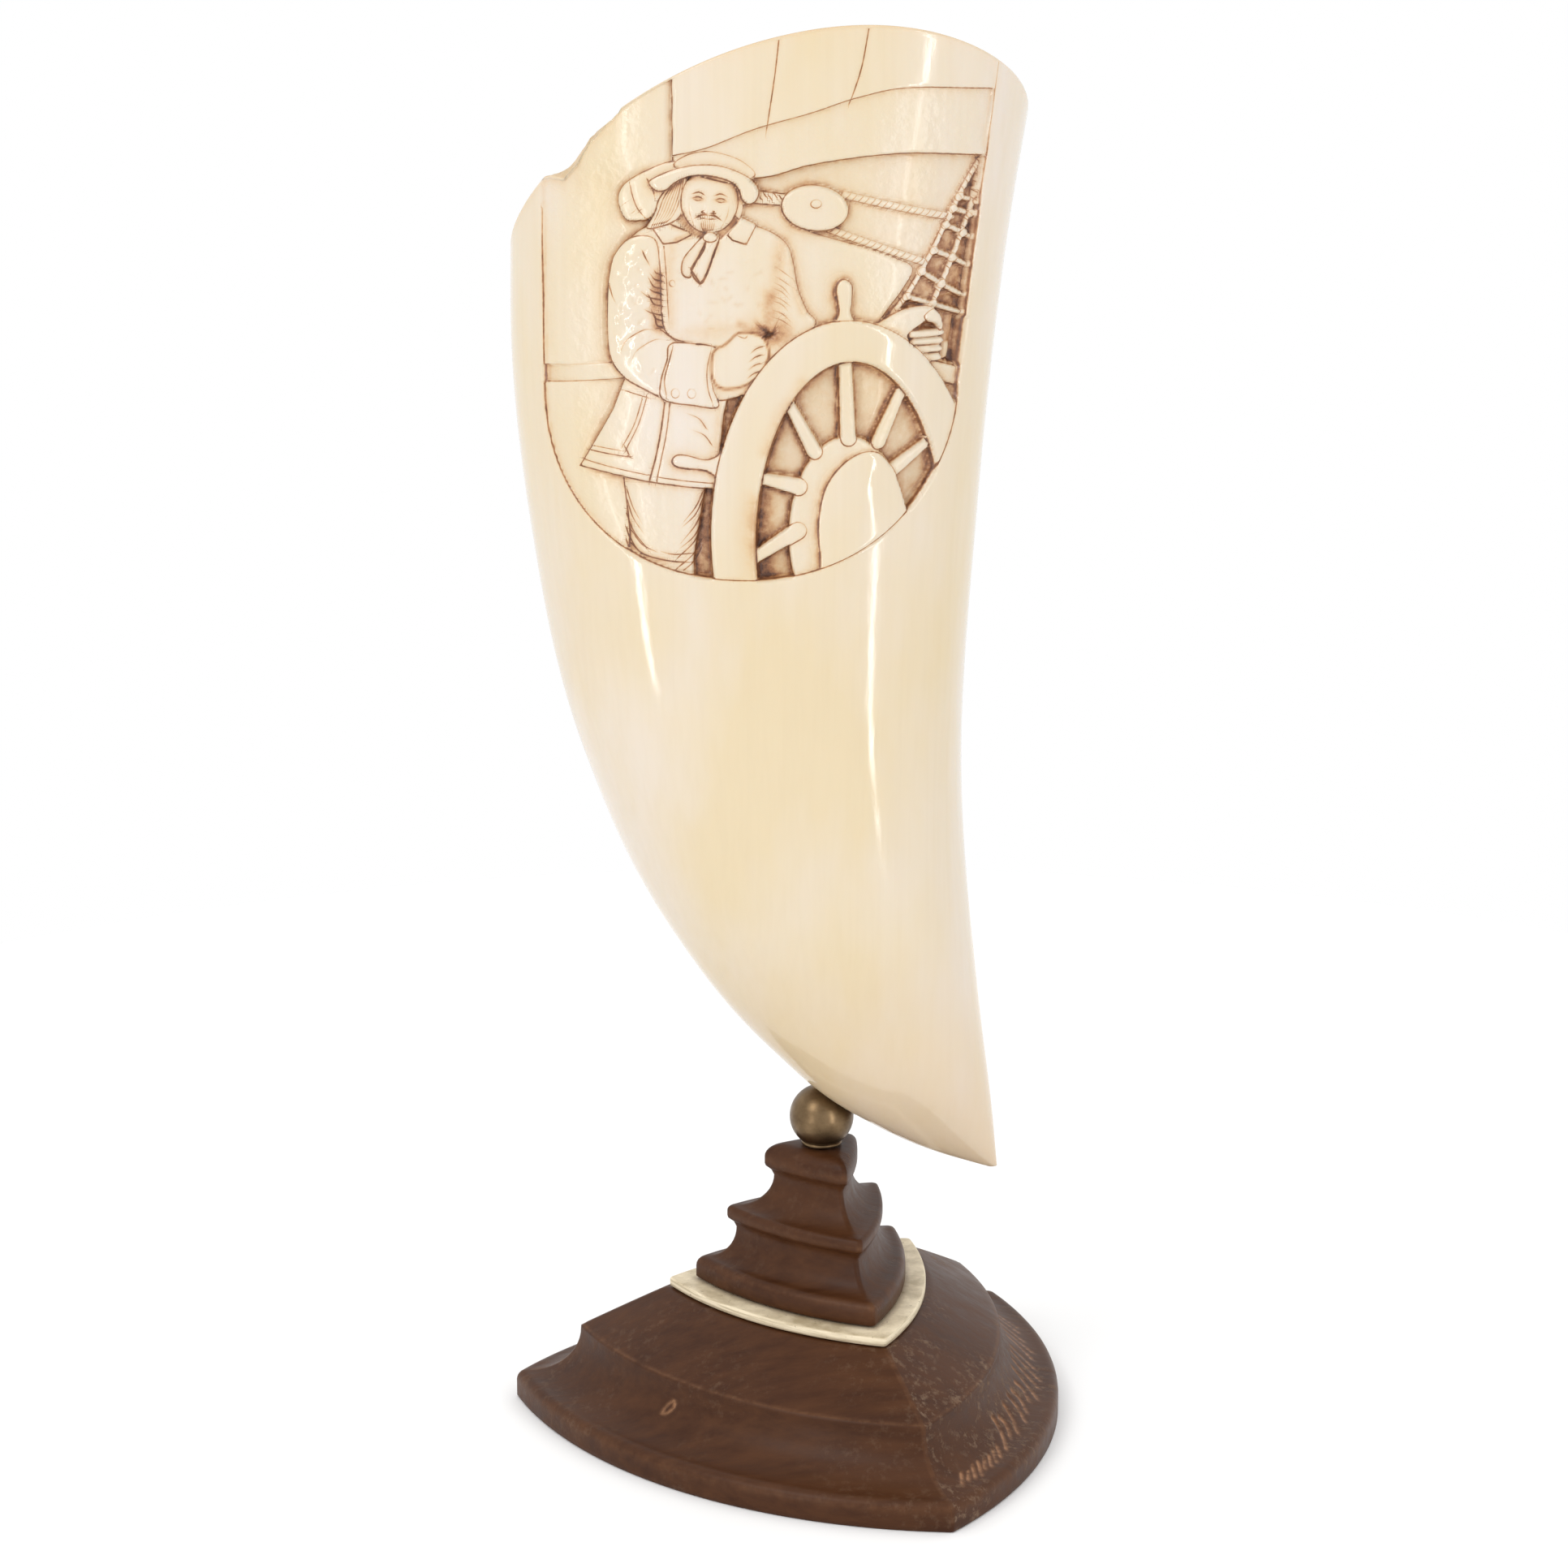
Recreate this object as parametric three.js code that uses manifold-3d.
// A carved whale tooth, point down, on a brass ball and a stepped three-sided wooden stand.
// Millimetres, +Z up, the carved side towards -Y. The origin is the middle of the stand's underside.

import * as THREE from 'three';
import Module from 'manifold-3d';
import { LoftGeometry } from 'three/addons/geometries/LoftGeometry.js';
import { mergeVertices } from 'three/addons/utils/BufferGeometryUtils.js';

const wasm = await Module();
wasm.setup();

// ---- Driving dimensions ----

const fitGap = 0.3;

// The stand's outline is three equal arcs; an inset moves all three sides inwards.
const stand = {
  sideRadius: 77.3,
  sideCentreOffset: 38.8,
  frontCornerAngle: THREE.MathUtils.degToRad( - 66.6 ),
  stepsPerSide: 9
};

// Heights above the table of the stand's pieces.
const baseTop = 20.4;
const bandHeight = 1.4;
const bandInset = 21.8;
const bandBottom = baseTop + fitGap;
const pedestalBottom = bandBottom + bandHeight + fitGap;
const pedestalTop = 46;

const ball = {
  radius: 5.15,
  centreZ: 50.9,
  footRadius: 3.3,
  footHeight: 0.9,
  neckRadius: 1.25,
  neckTop: 62
};

// The tooth is a stack of level oval sections. Each table gives [ height, value ].
const tooth = {
  tipZ: 42.2,
  blankTopZ: 232,
  levels: 25,
  sides: 40,
  squareness: 2.3,
  leftEdge: [ [ 42.2, 27 ], [ 45.5, 17.6 ], [ 52, 5 ], [ 64, - 9.1 ], [ 84, - 24.4 ],
    [ 112, - 37.1 ], [ 150, - 44.8 ], [ 190, - 46.8 ], [ 232, - 46 ] ],
  rightEdge: [ [ 42.2, 28.1 ], [ 50, 27.4 ], [ 72, 24.7 ], [ 107, 21.7 ], [ 150, 23.6 ],
    [ 190, 27.4 ], [ 232, 34 ] ],
  halfThickness: [ [ 42.2, 0.5 ], [ 45.5, 3.6 ], [ 54, 9.2 ], [ 72, 14.6 ], [ 110, 19.6 ],
    [ 160, 22.3 ], [ 232, 22.6 ] ]
};

// The root end is cut in an arch from side to side that falls away towards the back.
const rim = { archTop: 211.8, archX: 12.9, archRadius: 83.5, slopeBack: 0.649 };
const pulp = { floorZ: 161, mouthZ: 216, wall: 5, bluntness: 0.55 };

// Shapes that cut the tooth reach well past its front and its top.
const slabReach = 40;
const clearAboveTooth = 280;

// Depths of the carving below the tooth's own surface.
const depth = { near: 0.45, middle: 0.9, ground: 1.35, deep: 2.5 };

// The ship's wheel stands at an angle, so its rings are ovals.
const wheel = {
  rimOuter: { x: 3.3, z: 150, halfWidth: 20.3, halfHeight: 32.6 },
  rimInner: { x: 3.9, z: 149, halfWidth: 14, halfHeight: 27.3 },
  hub: { x: 5.6, z: 149, halfWidth: 10.6, halfHeight: 15.2 },
  cap: { x: 6.2, z: 149.5, halfWidth: 6.6, halfHeight: 12.6 },
  spokeAngles: [ - 96, - 69, - 40, 0, 36, 61 ],
  spokeWidthAtRim: 1.7,
  spokeWidthAtHub: 2.6
};

const net = {
  apex: [ 23.6, 205 ],
  feet: [ [ 9.7, 181.8 ], [ 15.8, 182.4 ], [ 21.6, 183 ] ],
  rungs: [ 0.3, 0.45, 0.6, 0.76, 0.92 ],
  rungDrop: 0.07,
  ropeWidth: 1
};

// ---- Helpers ----

function slopeBetween( low, high ) {

  return ( high[ 1 ] - low[ 1 ] ) / ( high[ 0 ] - low[ 0 ] );

}

// A smooth curve through a table of [ height, value ], read at one height.
function readTable( table, height ) {

  const slopes = table.map( ( row, i ) => {

    const before = table[ Math.max( i - 1, 0 ) ];
    const after = table[ Math.min( i + 1, table.length - 1 ) ];
    if ( before === row || after === row ) return slopeBetween( before, after );
    const share = ( row[ 0 ] - before[ 0 ] ) / ( after[ 0 ] - before[ 0 ] );
    return THREE.MathUtils.lerp( slopeBetween( before, row ), slopeBetween( row, after ), share );

  } );
  let i = 0;
  while ( i < table.length - 2 && height > table[ i + 1 ][ 0 ] ) i ++;
  const span = table[ i + 1 ][ 0 ] - table[ i ][ 0 ];
  const t = ( height - table[ i ][ 0 ] ) / span;
  return table[ i ][ 1 ] * ( 2 * t ** 3 - 3 * t ** 2 + 1 )
    + span * slopes[ i ] * ( t ** 3 - 2 * t ** 2 + t )
    + table[ i + 1 ][ 1 ] * ( 3 * t ** 2 - 2 * t ** 3 )
    + span * slopes[ i + 1 ] * ( t ** 3 - t ** 2 );

}

function solidOf( geometry ) {

  geometry.deleteAttribute( 'normal' );
  geometry.deleteAttribute( 'uv' );
  const merged = mergeVertices( geometry, 1e-4 );
  return new wasm.Manifold( new wasm.Mesh( {
    numProp: 3,
    vertProperties: new Float32Array( merged.attributes.position.array ),
    triVerts: new Uint32Array( merged.index.array )
  } ) );

}

function geometryOf( solid ) {

  const mesh = solid.getMesh();
  const geometry = new THREE.BufferGeometry();
  geometry.setAttribute( 'position', new THREE.BufferAttribute( mesh.vertProperties, 3 ) );
  geometry.setIndex( new THREE.BufferAttribute( mesh.triVerts, 1 ) );
  geometry.computeVertexNormals();
  return geometry;

}

// A flat outline in X and Z, stretched forwards from the tooth's middle plane.
function slab( shape ) {

  const geometry = new THREE.ExtrudeGeometry( shape, { depth: slabReach, bevelEnabled: false } );
  geometry.rotateX( Math.PI / 2 );
  return solidOf( geometry );

}

function slabs( shapes ) {

  return shapes.map( ( shape ) => slab( shape ) ).reduce( ( all, one ) => all.add( one ) );

}

function straightOutline( points ) {

  return new THREE.Shape( points.map( ( [ x, z ] ) => new THREE.Vector2( x, z ) ) );

}

function smoothOutline( points, stepsPerPoint = 2 ) {

  const curve = new THREE.CatmullRomCurve3(
    points.map( ( [ x, z ] ) => new THREE.Vector3( x, z, 0 ) ), true, 'centripetal' );
  const smooth = [];
  for ( let i = 0; i < points.length * stepsPerPoint; i ++ ) {

    const point = curve.getPoint( i / ( points.length * stepsPerPoint ) );
    smooth.push( [ point.x, point.y ] );

  }

  return straightOutline( smooth );

}

function oval( { x, z, halfWidth, halfHeight }, steps = 20 ) {

  const points = [];
  for ( let i = 0; i < steps; i ++ ) {

    const angle = i / steps * Math.PI * 2;
    points.push( [ x + halfWidth * Math.cos( angle ), z + halfHeight * Math.sin( angle ) ] );

  }

  return straightOutline( points );

}

function ovalPoint( ring, degreesFromTop ) {

  const angle = THREE.MathUtils.degToRad( degreesFromTop );
  return [ ring.x + ring.halfWidth * Math.sin( angle ), ring.z + ring.halfHeight * Math.cos( angle ) ];

}

// A straight bar between two points, with its own width at each end.
function bar( [ x1, z1 ], [ x2, z2 ], width1, width2 = width1 ) {

  const length = Math.hypot( x2 - x1, z2 - z1 );
  const sideX = - ( z2 - z1 ) / length / 2;
  const sideZ = ( x2 - x1 ) / length / 2;
  return straightOutline( [
    [ x1 + sideX * width1, z1 + sideZ * width1 ],
    [ x1 - sideX * width1, z1 - sideZ * width1 ],
    [ x2 - sideX * width2, z2 - sideZ * width2 ],
    [ x2 + sideX * width2, z2 + sideZ * width2 ]
  ] );

}

// ---- The stand ----

function standOutline( inset, z ) {

  const radius = stand.sideRadius - inset;
  const offset = stand.sideCentreOffset;
  const cornerReach = ( - offset + Math.sqrt( offset ** 2 - 4 * ( offset ** 2 - radius ** 2 ) ) ) / 2;
  const halfAngle = Math.asin( cornerReach * Math.sin( Math.PI / 3 ) / radius );
  const points = [];
  for ( let side = 0; side < 3; side ++ ) {

    const outward = stand.frontCornerAngle + Math.PI / 3 + side * Math.PI * 2 / 3;
    for ( let step = 0; step < stand.stepsPerSide; step ++ ) {

      const angle = outward + halfAngle * ( 2 * step / stand.stepsPerSide - 1 );
      points.push( new THREE.Vector3(
        radius * Math.cos( angle ) - offset * Math.cos( outward ),
        radius * Math.sin( angle ) - offset * Math.sin( outward ),
        z
      ) );

    }

  }

  return points;

}

// Points [ inset, height ] of a hollow that leaves level and ends upright.
function cove( [ inset1, z1 ], [ inset2, z2 ], steps = 4 ) {

  const points = [];
  for ( let i = 0; i <= steps; i ++ ) {

    const angle = i / steps * Math.PI / 2;
    points.push( [
      THREE.MathUtils.lerp( inset1, inset2, Math.sin( angle ) ),
      THREE.MathUtils.lerp( z1, z2, 1 - Math.cos( angle ) )
    ] );

  }

  return points;

}

function standPiece( profile ) {

  const sections = profile.map( ( [ inset, z ] ) => standOutline( inset, z ) );
  return new LoftGeometry( sections, { capStart: true, capEnd: true } );

}

function lowerBase() {

  return standPiece( [
    [ 0, 0 ], [ 0, 3 ], [ 0.5, 4.1 ],
    ...cove( [ 1.6, 4.7 ], [ 9.6, 12.8 ] ),
    [ 9.9, 13.2 ], [ bandInset - 0.6, baseTop ]
  ] );

}

function creamBand() {

  const top = bandBottom + bandHeight;
  return standPiece( [ [ bandInset, bandBottom ], [ bandInset, top - 0.3 ], [ bandInset + 0.3, top ] ] );

}

function upperPedestal() {

  return standPiece( [
    [ 25.1, pedestalBottom ], [ 25.1, 24.6 ], [ 25.5, 25.6 ],
    ...cove( [ 26.4, 26.1 ], [ 29.9, 31.6 ] ),
    [ 28.8, 33.1 ], [ 28.8, 34.3 ],
    ...cove( [ 29.5, 35 ], [ 33.9, 40.8 ] ),
    [ 32.9, 42.2 ], [ 32.9, 43.6 ], [ 33.6, 45.3 ], [ 35, pedestalTop ]
  ] );

}

// ---- The brass ball ----

function brassBall() {

  const footBottom = pedestalTop + fitGap;
  const footTop = footBottom + ball.footHeight;
  const points = [ [ 0, footBottom ], [ ball.footRadius, footBottom ], [ ball.footRadius, footTop ] ];
  const steps = 12;
  const lowest = Math.asin( ( footTop - ball.centreZ ) / ball.radius );
  const highest = Math.acos( ball.neckRadius / ball.radius );
  for ( let i = 0; i <= steps; i ++ ) {

    const angle = lowest + ( highest - lowest ) * i / steps;
    points.push( [ ball.radius * Math.cos( angle ), ball.centreZ + ball.radius * Math.sin( angle ) ] );

  }

  points.push( [ ball.neckRadius, ball.neckTop ], [ 0, ball.neckTop ] );
  const geometry = new THREE.LatheGeometry( points.map( ( [ r, z ] ) => new THREE.Vector2( r, z ) ), 20 );
  return geometry.rotateX( Math.PI / 2 );

}

// ---- The tooth ----

// One level oval, drawn in by an inset or scaled about its middle.
function toothSection( z, inset = 0, scale = 1 ) {

  const left = readTable( tooth.leftEdge, z );
  const right = readTable( tooth.rightEdge, z );
  const halfWidth = Math.max( ( right - left ) / 2 - inset, 0.1 ) * scale;
  const halfDepth = Math.max( readTable( tooth.halfThickness, z ) - inset, 0.1 ) * scale;
  const points = [];
  for ( let i = 0; i < tooth.sides; i ++ ) {

    const angle = i / tooth.sides * Math.PI * 2;
    const across = Math.cos( angle );
    const along = Math.sin( angle );
    points.push( new THREE.Vector3(
      ( left + right ) / 2 + halfWidth * Math.sign( across ) * Math.abs( across ) ** ( 2 / tooth.squareness ),
      halfDepth * Math.sign( along ) * Math.abs( along ) ** ( 2 / tooth.squareness ),
      z
    ) );

  }

  return points;

}

function toothBlank( inset = 0 ) {

  const sections = [];
  for ( let i = 0; i <= tooth.levels; i ++ ) {

    const z = tooth.tipZ + ( tooth.blankTopZ - tooth.tipZ ) * ( i / tooth.levels ) ** 1.5;
    sections.push( toothSection( z, inset ) );

  }

  return solidOf( new LoftGeometry( sections, { capStart: true, capEnd: true } ) );

}

// The open root cavity narrows to a blunt point inside the tooth.
function pulpCavity() {

  const sections = [];
  const steps = 8;
  for ( let i = 0; i <= steps; i ++ ) {

    const share = ( i / steps ) ** 1.6;
    const z = pulp.floorZ + ( pulp.mouthZ - pulp.floorZ ) * share;
    sections.push( toothSection( z, pulp.wall, Math.max( share, 0.01 ) ** pulp.bluntness ) );

  }

  sections.push( toothSection( tooth.blankTopZ, pulp.wall ) );
  return solidOf( new LoftGeometry( sections, { capStart: true, capEnd: true } ) );

}

function leaningBack( geometry ) {

  const lean = new THREE.Matrix4();
  lean.set( 1, 0, 0, 0, 0, 1, 0, 0, 0, - rim.slopeBack, 1, 0, 0, 0, 0, 1 );
  return solidOf( geometry.applyMatrix4( lean ) );

}

// Everything above the arched edge, from front to back.
function aboveRim() {

  const points = [];
  const halfSpan = 60;
  const steps = 24;
  for ( let i = 0; i <= steps; i ++ ) {

    const x = rim.archX - halfSpan + 2 * halfSpan * i / steps;
    points.push( [ x, rim.archTop - ( x - rim.archX ) ** 2 / ( 2 * rim.archRadius ) ] );

  }

  points.push( [ rim.archX + halfSpan, clearAboveTooth ], [ rim.archX - halfSpan, clearAboveTooth ] );
  const options = { depth: 2 * slabReach, bevelEnabled: false };
  const geometry = new THREE.ExtrudeGeometry( straightOutline( points ), options );
  geometry.rotateX( Math.PI / 2 );
  geometry.translate( 0, slabReach, 0 );
  return leaningBack( geometry );

}

// The old chip in the left end of the front edge.
function chip() {

  const outline = straightOutline( [
    [ - 44, 202.6 ], [ - 38.4, 202.9 ], [ - 36.6, 205 ], [ - 34.2, 208.8 ], [ - 30, 213.2 ],
    [ - 36, 218 ], [ - 46, 210 ]
  ] );
  return slab( outline );

}

// The panel is a deep U that runs up to the rim.
function panel() {

  const middleX = - 10.9;
  const halfWidth = 30.9;
  const shoulderZ = 172;
  const drop = 28.5;
  const steps = 26;
  const points = [];
  for ( let i = 0; i <= steps; i ++ ) {

    const angle = Math.PI + i / steps * Math.PI;
    const across = Math.cos( angle );
    points.push( [
      middleX + halfWidth * Math.sign( across ) * Math.abs( across ) ** ( 2 / tooth.squareness ),
      shoulderZ - drop * Math.abs( Math.sin( angle ) ) ** ( 2 / tooth.squareness )
    ] );

  }

  points.push( [ 26.5, tooth.blankTopZ ], [ middleX - halfWidth, tooth.blankTopZ ] );
  return straightOutline( points );

}

// ---- What the panel shows, in three planes ----

function sails() {

  const leftSeamX = - 22.3;
  const upper = straightOutline( [
    [ leftSeamX, clearAboveTooth ], [ leftSeamX, 206.8 ], [ - 17.3, 208 ], [ - 10.2, 210.8 ], [ - 2, 213.1 ],
    [ 5, 215.3 ], [ 13.3, 216.5 ], [ 30, 215.2 ], [ 30, clearAboveTooth ]
  ] );
  const lower = straightOutline( [
    [ leftSeamX, clearAboveTooth ], [ leftSeamX, 204 ], [ - 9.9, 203.6 ], [ - 2, 205.5 ], [ 7.4, 206.7 ],
    [ 15.8, 206.7 ], [ 30, 205 ], [ 30, clearAboveTooth ]
  ] );
  return { upper, lower };

}

function helmsman() {

  return {
    near: [
      // The hat: its crown and its broad drooping brim.
      oval( { x: - 17.6, z: 206, halfWidth: 6, halfHeight: 2.7 }, 14 ),
      smoothOutline( [
        [ - 30.3, 199.8 ], [ - 28.6, 203.9 ], [ - 23, 206.2 ], [ - 16.4, 206.4 ], [ - 11, 204.4 ],
        [ - 9.6, 201 ], [ - 11.2, 200.2 ], [ - 14, 202.6 ], [ - 18.6, 203.2 ], [ - 22.6, 201.8 ],
        [ - 25.4, 198.6 ], [ - 28.4, 197.6 ]
      ] ),
      // The near sleeve, its turned-back cuff and the fist.
      smoothOutline( [
        [ - 24.2, 194.4 ], [ - 28.2, 194 ], [ - 31.5, 190.6 ], [ - 32.2, 184 ], [ - 32, 178.4 ],
        [ - 29.6, 174.1 ], [ - 25, 172.2 ], [ - 22.6, 174 ], [ - 22.8, 180 ], [ - 23.6, 187 ]
      ] ),
      straightOutline( [
        [ - 22.9, 179 ], [ - 16.3, 178.6 ], [ - 16.7, 174 ], [ - 15.7, 169.7 ], [ - 20, 170.1 ], [ - 24.3, 171.6 ]
      ] ),
      oval( { x: - 12.6, z: 176.6, halfWidth: 4.4, halfHeight: 4.4 }, 14 )
    ],
    middle: [
      // Head, loose hair, coat body with the far sleeve, and the coat's skirt.
      oval( { x: - 17.2, z: 199.4, halfWidth: 4.1, halfHeight: 4.8 }, 14 ),
      smoothOutline( [ [ - 20.5, 203 ], [ - 24.6, 200 ], [ - 26.2, 197 ], [ - 22.8, 196 ], [ - 20, 196.4 ] ] ),
      smoothOutline( [
        [ - 25.4, 196.6 ], [ - 29.5, 193 ], [ - 30.5, 184 ], [ - 27, 175 ], [ - 20, 171 ], [ - 13, 171 ],
        [ - 6, 176 ], [ - 1.6, 182.4 ], [ - 3.8, 187 ], [ - 5, 192 ], [ - 8, 195.4 ], [ - 15, 196.2 ]
      ] ),
      straightOutline( [
        [ - 29.6, 174 ], [ - 36.9, 159.9 ], [ - 30, 158.8 ], [ - 22, 157.9 ], [ - 15.5, 157.4 ],
        [ - 15, 163 ], [ - 13, 169 ], [ - 14, 173 ]
      ] )
    ],
    far: [
      // Trousers and boot tops.
      straightOutline( [
        [ - 30.2, 160 ], [ - 29.6, 152 ], [ - 28.2, 148 ], [ - 28.6, 142 ], [ - 19.6, 142 ],
        [ - 19.3, 147 ], [ - 18.2, 152 ], [ - 17.7, 160 ]
      ] )
    ]
  };

}

function wheelSpokes() {

  return wheel.spokeAngles.map( ( angle ) => {

    const outer = ovalPoint( wheel.rimInner, angle );
    const inner = ovalPoint( wheel.hub, angle );
    return bar( outer, inner, wheel.spokeWidthAtRim, wheel.spokeWidthAtHub );

  } );

}

function wheelHandles() {

  const knob = ( x, z, halfWidth, halfHeight ) => oval( { x, z, halfWidth, halfHeight }, 10 );
  return [
    bar( [ 3.3, 182 ], [ 3.2, 187 ], 1.5 ),
    knob( 3.2, 186.8, 1.15, 1.7 ),
    bar( [ - 16, 160.4 ], [ - 20, 161.3 ], 1.5 ),
    knob( - 20, 161.3, 2, 1.15 )
  ];

}

function netRopes() {

  const along = ( foot, share ) => net.apex.map( ( start, i ) => start + ( foot[ i ] - start ) * share );
  const ropes = net.feet.map( ( foot ) => bar( net.apex, foot, net.ropeWidth ) );
  const rungs = net.rungs.map( ( share ) => bar(
    along( net.feet[ 0 ], share ),
    along( net.feet[ 2 ], share + net.rungDrop ),
    net.ropeWidth
  ) );
  return [ ...ropes, ...rungs ];

}

function carvedTooth() {

  const { upper, lower } = sails();
  const figure = helmsman();
  const rimSlab = slab( oval( wheel.rimOuter, 40 ) ).subtract( slab( oval( wheel.rimInner, 36 ) ) );

  const surface = slabs( [ upper, oval( wheel.cap, 22 ), ...figure.near ] ).add( rimSlab );
  const near = slabs( [
    lower, ...figure.middle, oval( wheel.hub, 24 ), ...wheelSpokes(), ...wheelHandles(),
    // The pulley block and its strap, and the far hand on the wheel.
    oval( { x: - 1.2, z: 198.9, halfWidth: 5, halfHeight: 3.4 }, 18 ),
    bar( [ - 10.4, 201.4 ], [ - 5, 200.4 ], 1.7 ),
    smoothOutline( [
      [ 9.4, 180 ], [ 12.6, 183 ], [ 16.4, 183.4 ], [ 18.6, 181 ], [ 18.1, 176.6 ], [ 14.5, 175 ]
    ] )
  ] );
  const middle = slabs( [
    ...figure.far, ...netRopes(),
    // The two falls of the tackle, and the rail on each side.
    bar( [ 2.6, 201.4 ], [ 19.4, 197 ], 1.3 ),
    bar( [ - 1, 195.6 ], [ 13.6, 190.6 ], 1.5 ),
    bar( [ - 43, 173 ], [ - 30, 175.8 ], 2.5 ),
    bar( [ 15.6, 173.6 ], [ 22, 170.8 ], 2.4 )
  ] );
  const deepPlaces = slabs( [
    oval( wheel.rimInner, 36 ),
    straightOutline( [ [ 24, 206 ], [ 9, 181.4 ], [ 15, 172 ], [ 23, 172 ] ] ),
    straightOutline( [ [ - 20, 142 ], [ - 17.6, 159 ], [ - 15, 159 ], [ - 15, 142 ] ] )
  ] );

  const panelSlab = slab( panel() );
  const blank = toothBlank();
  const carve = ( solid, region, level ) => solid.subtract( region.subtract( toothBlank( level ) ) );

  let carved = blank;
  let region = panelSlab.subtract( surface );
  carved = carve( carved, region, depth.near );
  region = region.subtract( near );
  carved = carve( carved, region, depth.middle );
  region = region.subtract( middle );
  carved = carve( carved, region, depth.ground );
  carved = carve( carved, region.intersect( deepPlaces ), depth.deep );

  const ballSeat = new THREE.SphereGeometry( ball.radius + fitGap, 20, 14 );
  ballSeat.translate( 0, 0, ball.centreZ );
  const socketDepth = ball.neckTop + fitGap - ball.centreZ;
  const socketRadius = ball.neckRadius + fitGap;
  const socket = new THREE.CylinderGeometry( socketRadius, socketRadius, socketDepth, 16 );
  socket.rotateX( Math.PI / 2 );
  socket.translate( 0, 0, ball.centreZ + socketDepth / 2 );

  return carved
    .subtract( aboveRim() )
    .subtract( pulpCavity() )
    .subtract( chip() )
    .subtract( solidOf( ballSeat ) )
    .subtract( solidOf( socket ) );

}

// ---- The object ----

function named( name, geometry, color, roughness, metalness = 0 ) {

  const mesh = new THREE.Mesh( geometry, new THREE.MeshStandardMaterial( { color, roughness, metalness } ) );
  mesh.name = name;
  return mesh;

}

const toothColor = 0xeedfc0;
const brassColor = 0x8a7350;
const woodColor = 0x58331f;
const bandColor = 0xd2c6a6;

const group = new THREE.Group();
group.add( named( 'lower_base', lowerBase(), woodColor, 0.45 ) );
group.add( named( 'cream_band', creamBand(), bandColor, 0.5 ) );
group.add( named( 'upper_pedestal', upperPedestal(), woodColor, 0.4 ) );
group.add( named( 'brass_ball', brassBall(), brassColor, 0.35, 1 ) );
group.add( named( 'whale_tooth', geometryOf( carvedTooth() ), toothColor, 0.2 ) );

export default group;
